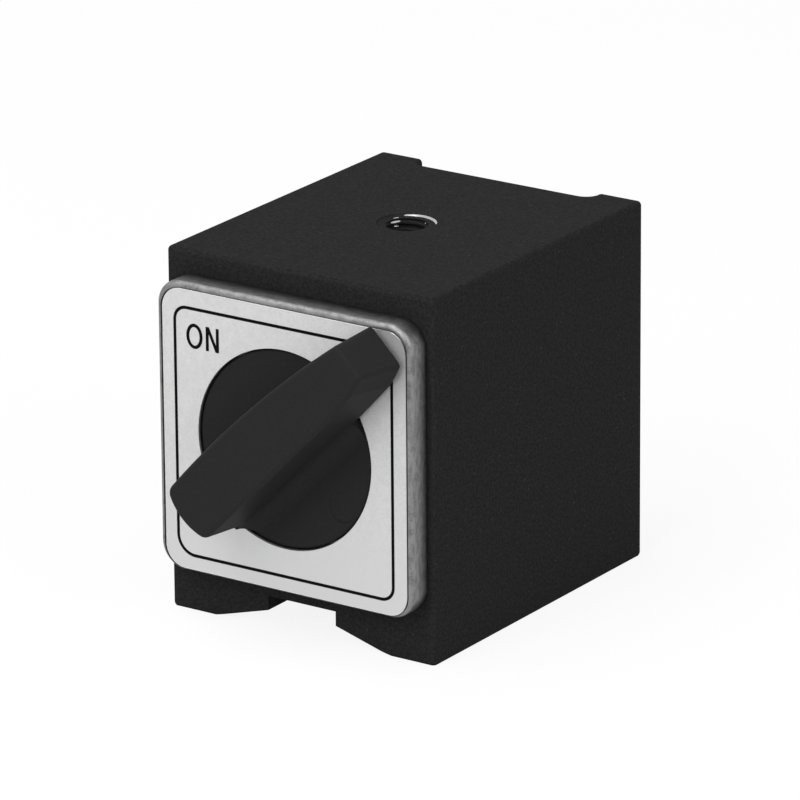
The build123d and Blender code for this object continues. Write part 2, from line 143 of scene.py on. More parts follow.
@dataclass(frozen=True)
class RoundedRectangle:
    """Rectangle with a radius for each corner: lower right, upper right, upper left, lower left."""

    low: Point
    high: Point
    radii: tuple[float, float, float, float]
    arc_steps: int = 14
    side_steps: int = 24

    def points(self, inset: float = 0.0) -> list[Point]:
        """Outline, anticlockwise from the lower right corner.

        Args:
            inset: how far it is drawn inside the rectangle; its corners keep their centres.

        Returns:
            The same number of points for every inset.
        """
        arcs = []
        for index, (sign_x, sign_z) in enumerate(((1, -1), (1, 1), (-1, 1), (-1, -1))):
            radius = self.radii[index]
            x = (self.high[0] - radius) if sign_x > 0 else (self.low[0] + radius)
            z = (self.high[1] - radius) if sign_z > 0 else (self.low[1] + radius)
            start = (index - 1) * RIGHT_ANGLE
            arcs.append(arc((x, z), radius - inset, start, start + RIGHT_ANGLE, self.arc_steps))
        outline: list[Point] = []
        for corner, following in zip(arcs, arcs[1:] + arcs[:1]):
            outline += corner + between(corner[-1], following[0], self.side_steps)
        return outline


def plate_outline(
    low: Vector, high: Vector, radius: float, growth: float = 0.0
) -> RoundedRectangle:
    """Outline of a square plate, seen from the front.

    Args:
        low: lowest corner of its box.
        high: highest corner of its box.
        radius: radius of the outline's corners.
        growth: how far outside the box the outline lies.

    Returns:
        The outline.
    """
    start, end = (low.x - growth, low.z - growth), (high.x + growth, high.z + growth)
    return RoundedRectangle(start, end, (radius,) * 4)


def on_circle(outline: Sequence[Point], centre: Point, radius: float) -> list[Point]:
    """The points of an outline moved along their rays on to a circle.

    Args:
        outline: points round the circle's centre.
        centre: centre of the circle.
        radius: its radius.

    Returns:
        One point for each point of the outline.
    """
    moved = []
    for x, z in outline:
        ray = Vector((x - centre[0], z - centre[1])).normalized() * radius
        moved.append((centre[0] + ray.x, centre[1] + ray.y))
    return moved


def facing_front(points: Iterable[Point], y: float) -> list[Vector]:
    """Places an outline of x and z at a depth y."""
    return [Vector((x, y, z)) for x, z in points]


def lying(points: Iterable[Point], z: float) -> list[Vector]:
    """Places an outline of x and y at a height z."""
    return [Vector((x, y, z)) for x, y in points]


# ---- meshes ------------------------------------------------------------------------------------
class Ends(Enum):
    """How a loft ends."""

    CAPPED = "capped"
    CLOSED = "closed into a ring"


class Join(Enum):
    """How one solid changes another."""

    ADD = "UNION"
    CUT = "DIFFERENCE"
    KEEP = "INTERSECT"


def add_object(name: str, data: bpy.types.ID) -> Piece:
    """Puts an object into the scene.

    Args:
        name: its name.
        data: its mesh, lamp or camera.

    Returns:
        The object.
    """
    item = bpy.data.objects.new(name, data)
    bpy.context.scene.collection.objects.link(item)
    return item


def made_from(name: str, work: bmesh.types.BMesh) -> Piece:
    """Turns a working mesh into a piece whose faces look outwards.

    Args:
        name: name of the piece.
        work: the mesh, which is freed.

    Returns:
        The piece.
    """
    bmesh.ops.remove_doubles(work, verts=work.verts, dist=WELD)
    bmesh.ops.recalc_face_normals(work, faces=work.faces)
    mesh = bpy.data.meshes.new(name)
    work.to_mesh(mesh)
    work.free()
    return add_object(name, mesh)


def loft(name: str, loops: Sequence[Sequence[Vector]], ends: Ends = Ends.CAPPED) -> Piece:
    """Solid whose skin runs through closed loops of equally many points.

    Args:
        name: name of the piece.
        loops: the loops in order.
        ends: whether the first and last loop are capped or joined to each other.

    Returns:
        The piece.
    """
    work = bmesh.new()
    rows = [[work.verts.new(point) for point in loop] for loop in loops]
    pairs = list(zip(rows, rows[1:]))
    if ends is Ends.CLOSED:
        pairs.append((rows[-1], rows[0]))
    else:
        work.faces.new(list(reversed(rows[0])))
        work.faces.new(rows[-1])
    for low, high in pairs:
        for index in range(len(low)):
            after = (index + 1) % len(low)
            work.faces.new((low[index], low[after], high[after], high[index]))
    return made_from(name, work)


def hoop(name: str, sections: Iterable[tuple[Sequence[Point], float]]) -> Piece:
    """Ring round an axis that runs from front to back.

    Args:
        name: name of the piece.
        sections: its outlines, as x and z, each with its depth y, in order round the ring's wall.

    Returns:
        The piece.
    """
    return loft(name, [facing_front(outline, y) for outline, y in sections], Ends.CLOSED)


def prism(name: str, outline: Sequence[Point], start: float, end: float) -> Piece:
    """Straight solid with one section all the way.

    Args:
        name: name of the piece.
        outline: the section, as x and z.
        start: depth y of its first end.
        end: depth y of its last end.

    Returns:
        The piece.
    """
    return loft(name, [facing_front(outline, y) for y in (start, end)])


def lathe(
    name: str, profile: Sequence[Point], steps: int, place: Matrix, ends: Ends = Ends.CAPPED
) -> Piece:
    """Solid turned about an axis.

    Args:
        name: name of the piece.
        profile: radius and height of each ring; every radius is above zero.
        steps: number of points on a ring.
        place: where the axis stands; it is the third column, and heights run along it.
        ends: whether the first and last ring are capped or joined to each other.

    Returns:
        The piece.
    """
    loops = []
    for radius, height in profile:
        loops.append([place @ point for point in lying(ring((0.0, 0.0), radius, steps), height)])
    return loft(name, loops, ends)


def settle(piece: Piece) -> None:
    """Applies the modifiers of a piece to its mesh.

    Args:
        piece: the piece, which gets a new mesh.
    """
    shown = piece.evaluated_get(bpy.context.evaluated_depsgraph_get())
    mesh = bpy.data.meshes.new_from_object(shown)
    piece.modifiers.clear()
    old = piece.data
    piece.data = mesh
    bpy.data.meshes.remove(old)
    mesh.name = piece.name


def combine(piece: Piece, tool: Piece, how: Join = Join.CUT) -> None:
    """Cuts a piece with a tool, or joins the tool to it, and deletes the tool.

    Args:
        piece: the solid to change.
        tool: the other solid.
        how: what to do.
    """
    modifier = piece.modifiers.new("join", "BOOLEAN")
    modifier.operation = how.value
    modifier.solver = "EXACT"
    modifier.object = tool
    settle(piece)
    mesh = tool.data
    bpy.data.objects.remove(tool)
    bpy.data.meshes.remove(mesh)


def joined(name: str, solids: Sequence[Piece]) -> Piece:
    """Joins solids into one piece.

    Args:
        name: name of the piece.
        solids: the solids, the first of which becomes the piece.

    Returns:
        The piece.
    """
    piece = solids[0]
    piece.name = name
    for solid in solids[1:]:
        combine(piece, solid, Join.ADD)
    return piece


def complete(piece: Piece, finish: "Finish", body: str, slot: str, *replaced: str) -> None:
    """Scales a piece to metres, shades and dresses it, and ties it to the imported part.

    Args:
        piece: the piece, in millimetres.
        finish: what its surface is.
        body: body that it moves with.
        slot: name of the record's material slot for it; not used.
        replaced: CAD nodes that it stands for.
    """
    piece.data.transform(Matrix.Scale(MM, 4))
    piece.data.shade_smooth()
    piece.data.set_sharp_from_angle(angle=SHARP)
    modifier = piece.modifiers.new("even", "WEIGHTED_NORMAL")
    modifier.keep_sharp = True
    modifier.weight = LARGE_FACES_RULE
    settle(piece)
    piece.data.materials.clear()
    piece.data.materials.append(finish.material())
    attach(piece, body)
    if replaced:
        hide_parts(*replaced)
    log.info("%s: %d faces on %s", piece.name, len(piece.data.polygons), body)


def dress(finish: "Finish", *nodes: str) -> None:
    """Gives CAD nodes their finish.

    Args:
        finish: what their surface is.
        nodes: their names.
    """
    for node in nodes:
        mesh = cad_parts[node].data
        mesh.materials.clear()
        mesh.materials.append(finish.material())
        log.info("%s: %s", node, finish.name)


# ---- finishes ----------------------------------------------------------------------------------
def linear(code: str) -> tuple[float, float, float, float]:
    """Turns an sRGB colour into the linear one that shaders use.

    Args:
        code: hex digits of red, green and blue.

    Returns:
        Linear red, green and blue, and an alpha of 1.
    """
    values = [int(code[start:start + 2], 16) / 255 for start in (0, 2, 4)]
    parts = [v / 12.92 if v <= 0.04045 else ((v + 0.055) / 1.055) ** 2.4 for v in values]
    return (*parts, 1.0)


def add_node(
    tree: bpy.types.NodeTree,
    kind: str,
    settings: dict[str | int, Any] | None = None,
    links: dict[str | int, Socket] | None = None,
) -> bpy.types.Node:
    """Adds a node with its settings and links.

    Args:
        tree: the material's node tree.
        kind: Blender's name for the node, without ShaderNode.
        settings: values for its input sockets or its own properties.
        links: outputs of other nodes for its input sockets.

    Returns:
        The new node.
    """
    node = tree.nodes.new("ShaderNode" + kind)
    for key, value in (settings or {}).items():
        if isinstance(key, str) and hasattr(node, key):
            setattr(node, key, value)
        else:
            node.inputs[key].default_value = value
    for key, socket in (links or {}).items():
        tree.links.new(socket, node.inputs[key])
    return node


@dataclass
class Surface:
    """What the layers of a finish are drawn on."""

    tree: bpy.types.NodeTree
    place: Socket
    base: tuple[float, float, float, float]
    colour: Socket | None = None
    height: Socket | None = None

    def tint(self, share: Socket, tone: str) -> None:
        """Mixes another colour in.

        Args:
            share: how much of it shows, from 0 to 1.
            tone: sRGB hex code of the colour.
        """
        settings = {"data_type": "RGBA", 6: self.base, 7: linear(tone)}
        links = {0: share, 6: self.colour} if self.colour else {0: share}
        self.colour = add_node(self.tree, "Mix", settings, links).outputs[2]

    def raise_by(self, share: Socket, height_mm: float) -> None:
        """Raises the surface.

        Args:
            share: where, from 0 to 1.
            height_mm: how far at 1.
        """
        settings = {"operation": "MULTIPLY", 1: height_mm * MM}
        raised = add_node(self.tree, "Math", settings, {0: share}).outputs[0]
        if self.height:
            links = {0: self.height, 1: raised}
            raised = add_node(self.tree, "Math", {"operation": "ADD"}, links).outputs[0]
        self.height = raised


@dataclass(frozen=True)
class Grain:
    """Even random texture: bumps of one size, and a tone that comes and goes with them."""

    size_mm: float
    height_mm: float = 0.0
    tone: str | None = None
    stretch: tuple[float, float, float] = (1.0, 1.0, 1.0)
    low: float = 0.3
    high: float = 0.7
    detail: float = 2.0

    def draw(self, surface: Surface) -> None:
        """Adds the layer.

        Args:
            surface: what it is drawn on.
        """
        tree = surface.tree
        scale = [1 / (self.size_mm * MM * stretch) for stretch in self.stretch]
        placed = add_node(tree, "Mapping", {"Scale": scale}, {"Vector": surface.place})
        settings = {"Scale": 1.0, "Detail": self.detail}
        noise = add_node(tree, "TexNoise", settings, {"Vector": placed.outputs[0]})
        settings = {"From Min": self.low, "From Max": self.high}
        spread = add_node(tree, "MapRange", settings, {"Value": noise.outputs[0]})
        if self.tone:
            surface.tint(spread.outputs[0], self.tone)
        if self.height_mm:
            surface.raise_by(spread.outputs[0], self.height_mm)


@dataclass(frozen=True)
class Fade:
    """Tone that thickens from one place to another along an axis, with an uneven edge. Here it paints
    shade, on the casting together with paint mist.
    """

    axis: int
    start_mm: float
    end_mm: float
    tone: str
    waver_mm: float
    size_mm: float = 1.0

    def draw(self, surface: Surface) -> None:
        """Adds the layer.

        Args:
            surface: what it is drawn on.
        """
        tree = surface.tree
        parts = add_node(tree, "SeparateXYZ", {}, {0: surface.place})
        settings = {"Scale": 1 / (self.size_mm * MM), "Detail": 2.0}
        noise = add_node(tree, "TexNoise", settings, {"Vector": surface.place})
        # Noise keeps close to a half, so it is spread over four times the waver.
        settings = {"operation": "MULTIPLY_ADD", 1: 4 * self.waver_mm * MM}
        links = {0: noise.outputs[0], 2: parts.outputs[self.axis]}
        moved = add_node(tree, "Math", settings, links)
        shift = 2 * self.waver_mm
        settings = {
            "From Min": (self.start_mm + shift) * MM,
            "From Max": (self.end_mm + shift) * MM,
            "interpolation_type": "SMOOTHSTEP",
        }
        share = add_node(tree, "MapRange", settings, {"Value": moved.outputs[0]})
        surface.tint(share.outputs[0], self.tone)


@dataclass(frozen=True)
class Rings:
    """Marks of a turning tool: fine rings about an axis that runs from front to back."""

    pitch_mm: float
    height_mm: float
    centre_mm: tuple[float, float, float]

    def draw(self, surface: Surface) -> None:
        """Adds the layer.

        Args:
            surface: what it is drawn on.
        """
        tree, vector = surface.tree, surface.place
        centre = [value * MM for value in self.centre_mm]
        for operation, value in (("SUBTRACT", centre), ("MULTIPLY", (1.0, 0.0, 1.0))):
            settings = {"operation": operation, 1: value}
            vector = add_node(tree, "VectorMath", settings, {0: vector}).outputs[0]
        radius = add_node(tree, "VectorMath", {"operation": "LENGTH"}, {0: vector})
        settings = {"operation": "MULTIPLY", 1: TURN / (self.pitch_mm * MM)}
        angle = add_node(tree, "Math", settings, {0: radius.outputs["Value"]})
        wave = add_node(tree, "Math", {"operation": "SINE"}, {0: angle.outputs[0]})
        surface.raise_by(wave.outputs[0], self.height_mm / 2)


@dataclass(frozen=True)
class Finish:
    """A material: what the real one is, the layers that its making leaves on it, and painted shade
    where a layer stands in for light.
    """

    name: str
    colour: str
    roughness: float
    layers: tuple[Grain | Fade | Rings, ...]
    metallic: float = 0.0
    ior: float = 1.5
    specular: float = 0.5
    sheen: float = 0.0

    @cache
    def material(self) -> bpy.types.Material:
        """Makes the Blender material once.

        Returns:
            The material.
        """
        material = bpy.data.materials.new(self.name)
        material.use_nodes = True
        tree = material.node_tree
        shader = tree.nodes["Principled BSDF"]
        uniform = {
            "Base Color": linear(self.colour),
            "Roughness": self.roughness,
            "Metallic": self.metallic,
            "IOR": self.ior,
            "Specular IOR Level": self.specular,
            "Sheen Weight": self.sheen,
        }
        for socket, value in uniform.items():
            shader.inputs[socket].default_value = value
        place = add_node(tree, "TexCoord").outputs["Object"]
        surface = Surface(tree, place, linear(self.colour))
        for layer in self.layers:
            layer.draw(surface)
        if surface.colour:
            tree.links.new(surface.colour, shader.inputs["Base Color"])
        if surface.height:
            bump = add_node(tree, "Bump", {"Distance": 1.0}, {"Height": surface.height})
            tree.links.new(bump.outputs[0], shader.inputs["Normal"])
        return material


# Polyester powder coat, sprayed and baked: a dry black with a fine pebbled grain and, here and
# there, a paler speck where the powder has not flowed out.
POWDER_COAT = Finish(
    "powder_coat_black",
    "202020",
    0.6,
    (
        Grain(0.45, 0.012, "282828", low=0.38, high=0.62),
        Grain(0.55, tone="3c3c3c", low=0.72, high=0.80, detail=1.0),
    ),
    specular=0.006,
)
# Glass filled nylon from a spark eroded mould: an even matt black with a very fine grain.
MOULDED_NYLON = Finish(
    "moulded_nylon_black", "222222", 0.5, (Grain(0.3, 0.002, "272727"),), specular=0.03
)
# Zinc alloy from a pressure die, tumbled: dull grey, streaked and blotched by flow and handling,
# and darkened towards its back edge, where it meets the body: painted shade of that corner, with
# mist from the body's paint at the very edge.
DIE_CAST_ZINC = Finish(
    "die_cast_zinc",
    "888888",
    0.5,
    (
        Grain(0.7, 0.008, "6e6e6e", (2.6, 1.0, 2.6), low=0.4, high=0.66),
        Grain(0.25, 0.004, "969696", low=0.5, high=0.8),
        # Painted shade: darker towards the body, with paint mist only at the very edge.
        Fade(1, -26.5, -21.9, "2c2c2c", waver_mm=0.3),
    ),
    metallic=1.0,
)
# Thin aluminium sheet, matt anodised: pale silver with a faint mottle and an even satin, and
# a painted shade that darkens it slightly towards the bottom. The etched satin is finer than
# shows, so its grain is drawn as coarse as 0.12 mm.
ANODISED_SHEET = Finish(
    "anodised_aluminium_sheet",
    "d0d0d0",
    0.42,
    (
        Grain(1.2, tone="cacaca"),
        Grain(0.3, tone="c2c2c2", low=0.5, high=0.8),
        # Painted shade: slightly darker towards the bottom.
        Fade(2, 34.0, 6.0, "cacaca", waver_mm=2.0, size_mm=9.0),
        Grain(0.12, 0.0006),
    ),
    metallic=0.6,
)
# The same sheet where it was sheared: a bright bare burnish, darkened along its right side by
# painted shade.
SHEARED_ALUMINIUM = Finish(
    "sheared_aluminium_edge",
    "f0f0f0",
    0.3,
    (
        Grain(0.4, 0.001, "d8d8d8", (2.0, 1.0, 2.0)),
        # Painted shade along the right side of the edge.
        Fade(0, 21.6, 22.9, "606060", waver_mm=0.2),
    ),
    metallic=1.0,
)
# Screen printing ink: thin, black and matt.
SCREEN_INK = Finish(
    "screen_ink_black", "080808", 0.6, (Grain(0.2, 0.001, "0e0e0e"),), specular=0.03
)
# Aluminium alloy, bare where it was cut: bright, with a fine grain. It also makes the bare
# patches in the tapped hole, laid only where glints fall, as painted highlights.
CUT_ALUMINIUM = Finish(
    "machined_aluminium", "c4c5c6", 0.22, (Grain(0.25, 0.002, "a8a9aa"),), metallic=1.0
)
# The same alloy where paint has drifted into the tapped hole: dry and nearly black.
MISTED_ALUMINIUM = Finish(
    "paint_misted_aluminium", "1b1b1c", 0.55, (Grain(0.3, 0.004, "2a2a2b"),), specular=0.1
)
# Mild steel, surface ground lengthwise: bright, with straight scratches. Real ones are finer than
# shows, so they are drawn 0.12 mm wide.
GROUND_STEEL = Finish(
    "ground_steel", "a9a8a5", 0.28, (Grain(0.12, 0.002, "8e8d8a", (1.0, 60.0, 1.0)),), metallic=1.0
)
# Steel with bright zinc plate: pale and slightly blue, with soft cloudy variation.
ZINC_PLATE = Finish(
    "zinc_plated_steel", "b9bcc0", 0.3, (Grain(0.8, 0.001, "a4a8ae"),), metallic=1.0
)
# Free cutting brass, turned: warm yellow with fine rings about the rotor's axis.
TURNED_BRASS = Finish(
    "turned_brass",
    "c9a45a",
    0.25,
    (Rings(0.3, 0.002, (0.0, 0.0, 32.2)), Grain(0.5, tone="b8924c")),
    metallic=1.0,
)
# Sintered bronze soaked in oil: brown and dull, pitted all over with fine pores.
SINTERED_BRONZE = Finish(
    "sintered_bronze", "8c6a41", 0.5, (Grain(0.18, 0.01, "5d452a"),), metallic=1.0
)
# Barium ferrite, pressed and fired: charcoal grey ceramic with a dry, slightly pitted face.
FERRITE = Finish("fired_ferrite", "38383b", 0.7, (Grain(0.4, 0.006, "2c2c2f"),), ior=2.3)
# Pressed wool felt: grey, with matted fibres that catch the light along their edges.
WOOL_FELT = Finish(
    "wool_felt",
    "6f6c66",
    0.95,
    (
        Grain(0.25, 0.05, "8a877f", (3.0, 1.0, 1.0)),
        Grain(0.25, 0.05, "5b5852", (1.0, 1.0, 3.0)),
    ),
    sheen=0.4,
)
# Spring steel strip, hardened and tempered: straw to blue oxide over a smooth rolled face.
TEMPERED_STEEL = Finish(
    "tempered_spring_steel", "6b6f78", 0.3, (Grain(3.0, tone="7d6f5a"),), metallic=1.0
)


# ---- body --------------------------------------------------------------------------------------
@dataclass(frozen=True)
class GlintPatch:
    """Bare patch in the tapped hole, as a painted highlight. Its angles are in degrees, its depth
    below the top.
    """

    start: float
    end: float
    radius: float
    depth: float
    half_height: float
    lean: float


@dataclass
class PaintedBody:
    """Pole blocks and spacers under their black coat, with bare ground feet and a tapped hole."""

    coat: float = 0.15
    coat_foot: float = 0.01
    bite: float = 0.03
    corner: float = 0.7
    top_edge: float = 0.6
    ground_edge: float = 0.6
    rail_width: float = 7.9
    rail_cove: float = 2.1
    rail_edge: float = 0.7
    foot_width: float = 8.2
    vee_rise: float = 2.9
    corner_steps: int = 8
    edge_steps: int = 6
    plate_cover: float = 0.2
    window_corner: float = 4.0
    plug_line: float = 0.12
    bore_steps: int = 24
    hole_steps: int = 128
    spot_radius: float = 4.9
    spot_depth: float = 0.2
    spot_foot: float = 4.58
    mist: float = 0.05
    # Two radii of the thread, and its form over one pitch: how far up, and how far out.
    thread_minor: float = 3.35
    thread_major: float = 4.0
    thread_form: tuple[Point, ...] = ((0, 0), (0.25, 0), (0.5625, 1), (0.6875, 1), (1, 0))
    thread_pitch: float = 1.25
    thread_depth: float = 10.0
    thread_start: float = math.radians(67)
    thread_steps: int = 72
    thread_weld: float = 1e-4
    # The wall of the spot face, its lip, and three crests of the thread: bare patches laid only
    # where glints fall, as painted highlights.
    glint_patches: tuple[GlintPatch, ...] = (
        GlintPatch(29, 133, 4.8, 0.06, 0.15, 0.42),
        GlintPatch(143, 157, 3.82, 0.12, 0.02, 0.1),
        GlintPatch(141, 173, 3.41, 0.57, 0.13, 0.2),
        GlintPatch(143, 157, 3.72, 1.42, 0.09, 0.13),
        GlintPatch(61, 66, 3.42, 0.46, 0.06, 0.1),
    )
    glint_steps: int = 40
    # Section of a patch: how far out in millimetres, or in by a share of its lean, and how far up.
    glint_section: tuple[Point, ...] = ((-1, -1), (0, 0.9), (0.03, 1), (0.12, 1), (0.12, -1))
    glint_tip: float = 0.02
    glint_swell: float = 0.4

    def __post_init__(self) -> None:
        """Reads the places of the body from the frame."""
        block_low, block_high = corners("pole_block_right")
        spacer_high = corners("top_spacer")[1]
        self.half_width = block_high.x
        self.front, self.back = block_low.y, block_high.y
        self.top = block_high.z
        self.floor = spacer_high.y
        self.half_groove = spacer_high.x
        self.ceiling = corners("bottom_spacer")[0].z
        plug_low, plug_high = corners("rear_plug")
        self.bore = (plug_high.x - plug_low.x) / 2
        self.axis = bore_axis()
        self.middle = (self.front + self.back) / 2
        self.upright = Matrix.Translation((0.0, self.middle, 0.0))

    def plan(self, inset: float) -> list[Point]:
        """Outline seen from above, anticlockwise from the middle of the front.

        Args:
            inset: how far it is drawn inside the real outline.

        Returns:
            The same number of points for every inset.
        """
        corner, cove, edge = self.corner, self.rail_cove, self.rail_edge
        corner_x = self.half_width - corner
        wall_x = self.half_width - self.rail_width
        bends = (
            ((corner_x, self.front + corner), corner - inset, -RIGHT_ANGLE, 0.0),
            ((corner_x, self.back - corner), corner - inset, 0.0, RIGHT_ANGLE),
            ((wall_x + edge, self.back - edge), edge - inset, RIGHT_ANGLE, 2 * RIGHT_ANGLE),
            ((wall_x - cove, self.floor + cove), cove + inset, 0.0, -RIGHT_ANGLE),
        )
        half = [point for bend in bends for point in arc(*bend, self.corner_steps)]
        return half + [(-x, y) for x, y in reversed(half)]

    def outside(self, name: str, growth: float, foot: float) -> Piece:
        """The body as one solid, with its top and ground edges rounded.

        Args:
            name: name of the solid.
            growth: how far its faces lie outside the real ones.
            foot: height at which it ends.

        Returns:
            The solid.
        """
        ground = reversed(rolled(self.ground_edge, self.edge_steps, growth))
        levels = [level for level in ground if level[1] > foot]
        levels.insert(0, (levels[0][0], foot))
        for inset, drop in rolled(self.top_edge, self.edge_steps, growth):
            levels.append((inset, self.top - drop))
        return loft(name, [lying(self.plan(inset), height) for inset, height in levels])

    def groove(self, growth: float, vee: bool) -> Piece:
        """Cutter for the space under the body.

        Args:
            growth: how far the painted faces stand proud of the metal.
            vee: whether it follows the flanks or is only the slot between the blocks.

        Returns:
            The cutter.
        """
        half, ceiling = self.half_groove - growth, self.ceiling - growth
        right = [(half, -PAST), (half, ceiling)]
        if vee:
            foot_x = self.half_width - self.foot_width
            slope = self.vee_rise / (foot_x - self.half_groove)
            right[:1] = [(foot_x + PAST / slope, -PAST), (half, (foot_x - half) * slope)]
        outline = right + [(-x, z) for x, z in reversed(right)]
        return prism("groove", outline, self.front - PAST, self.back + PAST)

    def coat_mesh(self) -> Piece:
        """Paint over everything but the feet, the flanks and the thread.

        Returns:
            A thin closed skin.
        """
        skin = self.outside("powder_coat", self.coat, self.coat_foot)
        combine(skin, self.groove(self.coat, vee=True))
        core = self.outside("core", -self.bite, -PAST)
        combine(core, self.groove(-self.bite, vee=False))
        combine(skin, core)
        mouth = [(self.spot_radius, self.top + rise) for rise in (-PAST, PAST)]
        combine(skin, lathe("mouth", mouth, self.hole_steps, self.upright))
        combine(skin, self.spot_face_paint(), Join.ADD)
        window = plate_outline(*corners("cover_plate"), self.window_corner, -self.plate_cover)
        combine(skin, prism("window", window.points(), self.front - PAST, self.front + PAST))
        combine(skin, self.plug_groove())
        return skin

    def spot_face_paint(self) -> Piece:
        """Paint inside the spot face round the tapped hole.

        Returns:
            A turned ring that covers the floor and the sloping wall.
        """
        mist, floor, lip = self.mist, self.top - self.spot_depth, self.top + self.coat
        wall, inside, face = self.spot_radius - mist / 2, self.thread_minor + mist, floor + mist
        profile = [
            (self.spot_radius + mist, floor - mist / 2),
            (self.spot_radius + mist, lip - mist),
            (wall + mist / 3, lip - 1.5 * mist),
            (wall, self.top + self.coat / 2),
            (self.spot_foot + mist, face + mist / 2),
            (self.spot_foot, face),
            (inside + mist, face),
            (inside, face - mist),
            (inside, floor - mist / 2),
        ]
        return lathe("spot_face_paint", profile, self.hole_steps, self.upright, Ends.CLOSED)

    def plug_groove(self) -> Piece:
        """Cutter for the hairline that shows through the paint round the plug at the back.

        Returns:
            A ring that is shaped like a vee.
        """
        line, paint = self.plug_line, self.floor + self.coat
        sections = []
        for along, out in ((-line, line), (0.0, -line / 3), (line, line)):
            sections.append((ring(self.axis, self.bore + along, self.hole_steps), paint + out))
        return hoop("plug_groove", sections)

    def spacer_mesh(self) -> Piece:
        """Top spacer with its tapped hole, the thread cut as a real helix.

        Returns:
            The spacer.
        """
        low, high = corners("top_spacer")
        half, edge = self.half_groove, self.top_edge
        spread = math.asin(half / self.bore)
        start, end = RIGHT_ANGLE + spread, RIGHT_ANGLE - spread
        outline = arc(self.axis, self.bore, start, end, self.bore_steps)
        outline += [(half, self.top), (-half, self.top)]
        centre = (low.y + edge, self.top - edge)
        loops = []
        for y, height in arc(centre, edge, 2 * RIGHT_ANGLE, RIGHT_ANGLE, self.edge_steps):
            cut = [(x, min(z, max(height, low.z))) for x, z in outline]
            loops.append(facing_front(cut, y))
        for loop in reversed(loops[:]):
            loops.append([Vector((p.x, high.y + low.y - p.y, p.z)) for p in loop])
        spacer = loft("tapped_spacer", loops)
        spot_face = [(self.spot_radius, self.top - self.spot_depth)]
        spot_face += [(self.spot_radius, self.top + PAST)]
        combine(spacer, lathe("spot_face", spot_face, self.hole_steps, self.upright))
        combine(spacer, self.thread_cutter())
        return spacer

    def glint_mesh(self) -> Piece:
        """Bare metal on the hole's lip and first threads, laid only where glints fall: painted
        highlights.
        """
        return joined("painted_glints", [self.glint_patch(patch) for patch in self.glint_patches])

    def glint_patch(self, patch: GlintPatch) -> Piece:
        """One bare patch, as a painted highlight.

        Args:
            patch: its place and size.

        Returns:
            A thin curved strip, tapered at both ends.
        """
        start, end = math.radians(patch.start), math.radians(patch.end)
        loops = []
        for step in range(self.glint_steps + 1):
            angle = start + (end - start) * step / self.glint_steps
            share = math.sin(math.pi * step / self.glint_steps)
            share = max(share, self.glint_tip) ** self.glint_swell
            loop = []
            for reach, up in self.glint_section:
                out = patch.radius + (patch.lean * share * reach if reach < 0 else reach)
                rise = self.top - patch.depth + up * patch.half_height * share
                y = self.middle + out * math.sin(angle)
                loop.append(Vector((out * math.cos(angle), y, rise)))
            loops.append(loop)
        return loft("patch", loops)

    def thread_reach(self, phase: float) -> float:
        """Radius of the thread.

        Args:
            phase: how far up it is wanted, in pitches.

        Returns:
            The radius in millimetres.
        """
        phase %= 1.0
        for (start, low), (end, high) in zip(self.thread_form, self.thread_form[1:]):
            if phase <= end:
                share = low + (high - low) * (phase - start) / (end - start)
                break
        return self.thread_minor + (self.thread_major - self.thread_minor) * share

    def thread_cutter(self) -> Piece:
        """Screw shaped solid whose crests are the roots of the thread in the hole.

        Returns:
            The cutter.
        """
        bottom, top = self.top - self.thread_depth, self.top
        pitch, steps = self.thread_pitch, self.thread_steps
        starts = [phase for phase, _ in self.thread_form[:-1]]
        turns = math.ceil((top - bottom) / pitch) + 1
        work = bmesh.new()
        rows = []
        for start in [turn + phase for turn in range(-1, turns) for phase in starts]:
            row = []
            for step in range(steps):
                height = min(max(bottom + (start + step / steps) * pitch, bottom), top)
                angle = TURN * step / steps + self.thread_start
                reach = self.thread_reach((height - bottom) / pitch - step / steps)
                y = self.middle + reach * math.sin(angle)
                row.append(work.verts.new((reach * math.cos(angle), y, height)))
            rows.append(row)
        for low, high in zip(rows, rows[1:]):
            for step in range(steps - 1):
                work.faces.new((low[step], low[step + 1], high[step + 1], high[step]))
        following = rows[len(starts):]
        for low, high, next_low, next_high in zip(rows, rows[1:], following, following[1:]):
            work.faces.new((low[-1], next_low[0], next_high[0], high[-1]))
        bmesh.ops.remove_doubles(work, verts=work.verts, dist=self.thread_weld)
        bmesh.ops.dissolve_degenerate(work, edges=work.edges, dist=self.thread_weld)
        bmesh.ops.holes_fill(work, edges=[edge for edge in work.edges if edge.is_boundary])
        return made_from("thread", work)

    def build(self) -> None:
        """Makes the coat and the tapped spacer, and dresses the metal under them."""
        complete(self.coat_mesh(), POWDER_COAT, "base", "body_paint")
        complete(self.spacer_mesh(), MISTED_ALUMINIUM, "base", "spacer_metal", "top_spacer")
        # Bare patches in the hole, laid where glints fall: painted highlights.
        complete(self.glint_mesh(), CUT_ALUMINIUM, "base", "spacer_metal")
        dress(GROUND_STEEL, "pole_block_left", "pole_block_right", "rear_plug", "stop_pin")
        dress(CUT_ALUMINIUM, "bottom_spacer")
        dress(SINTERED_BRONZE, "rear_bush", "front_bush")


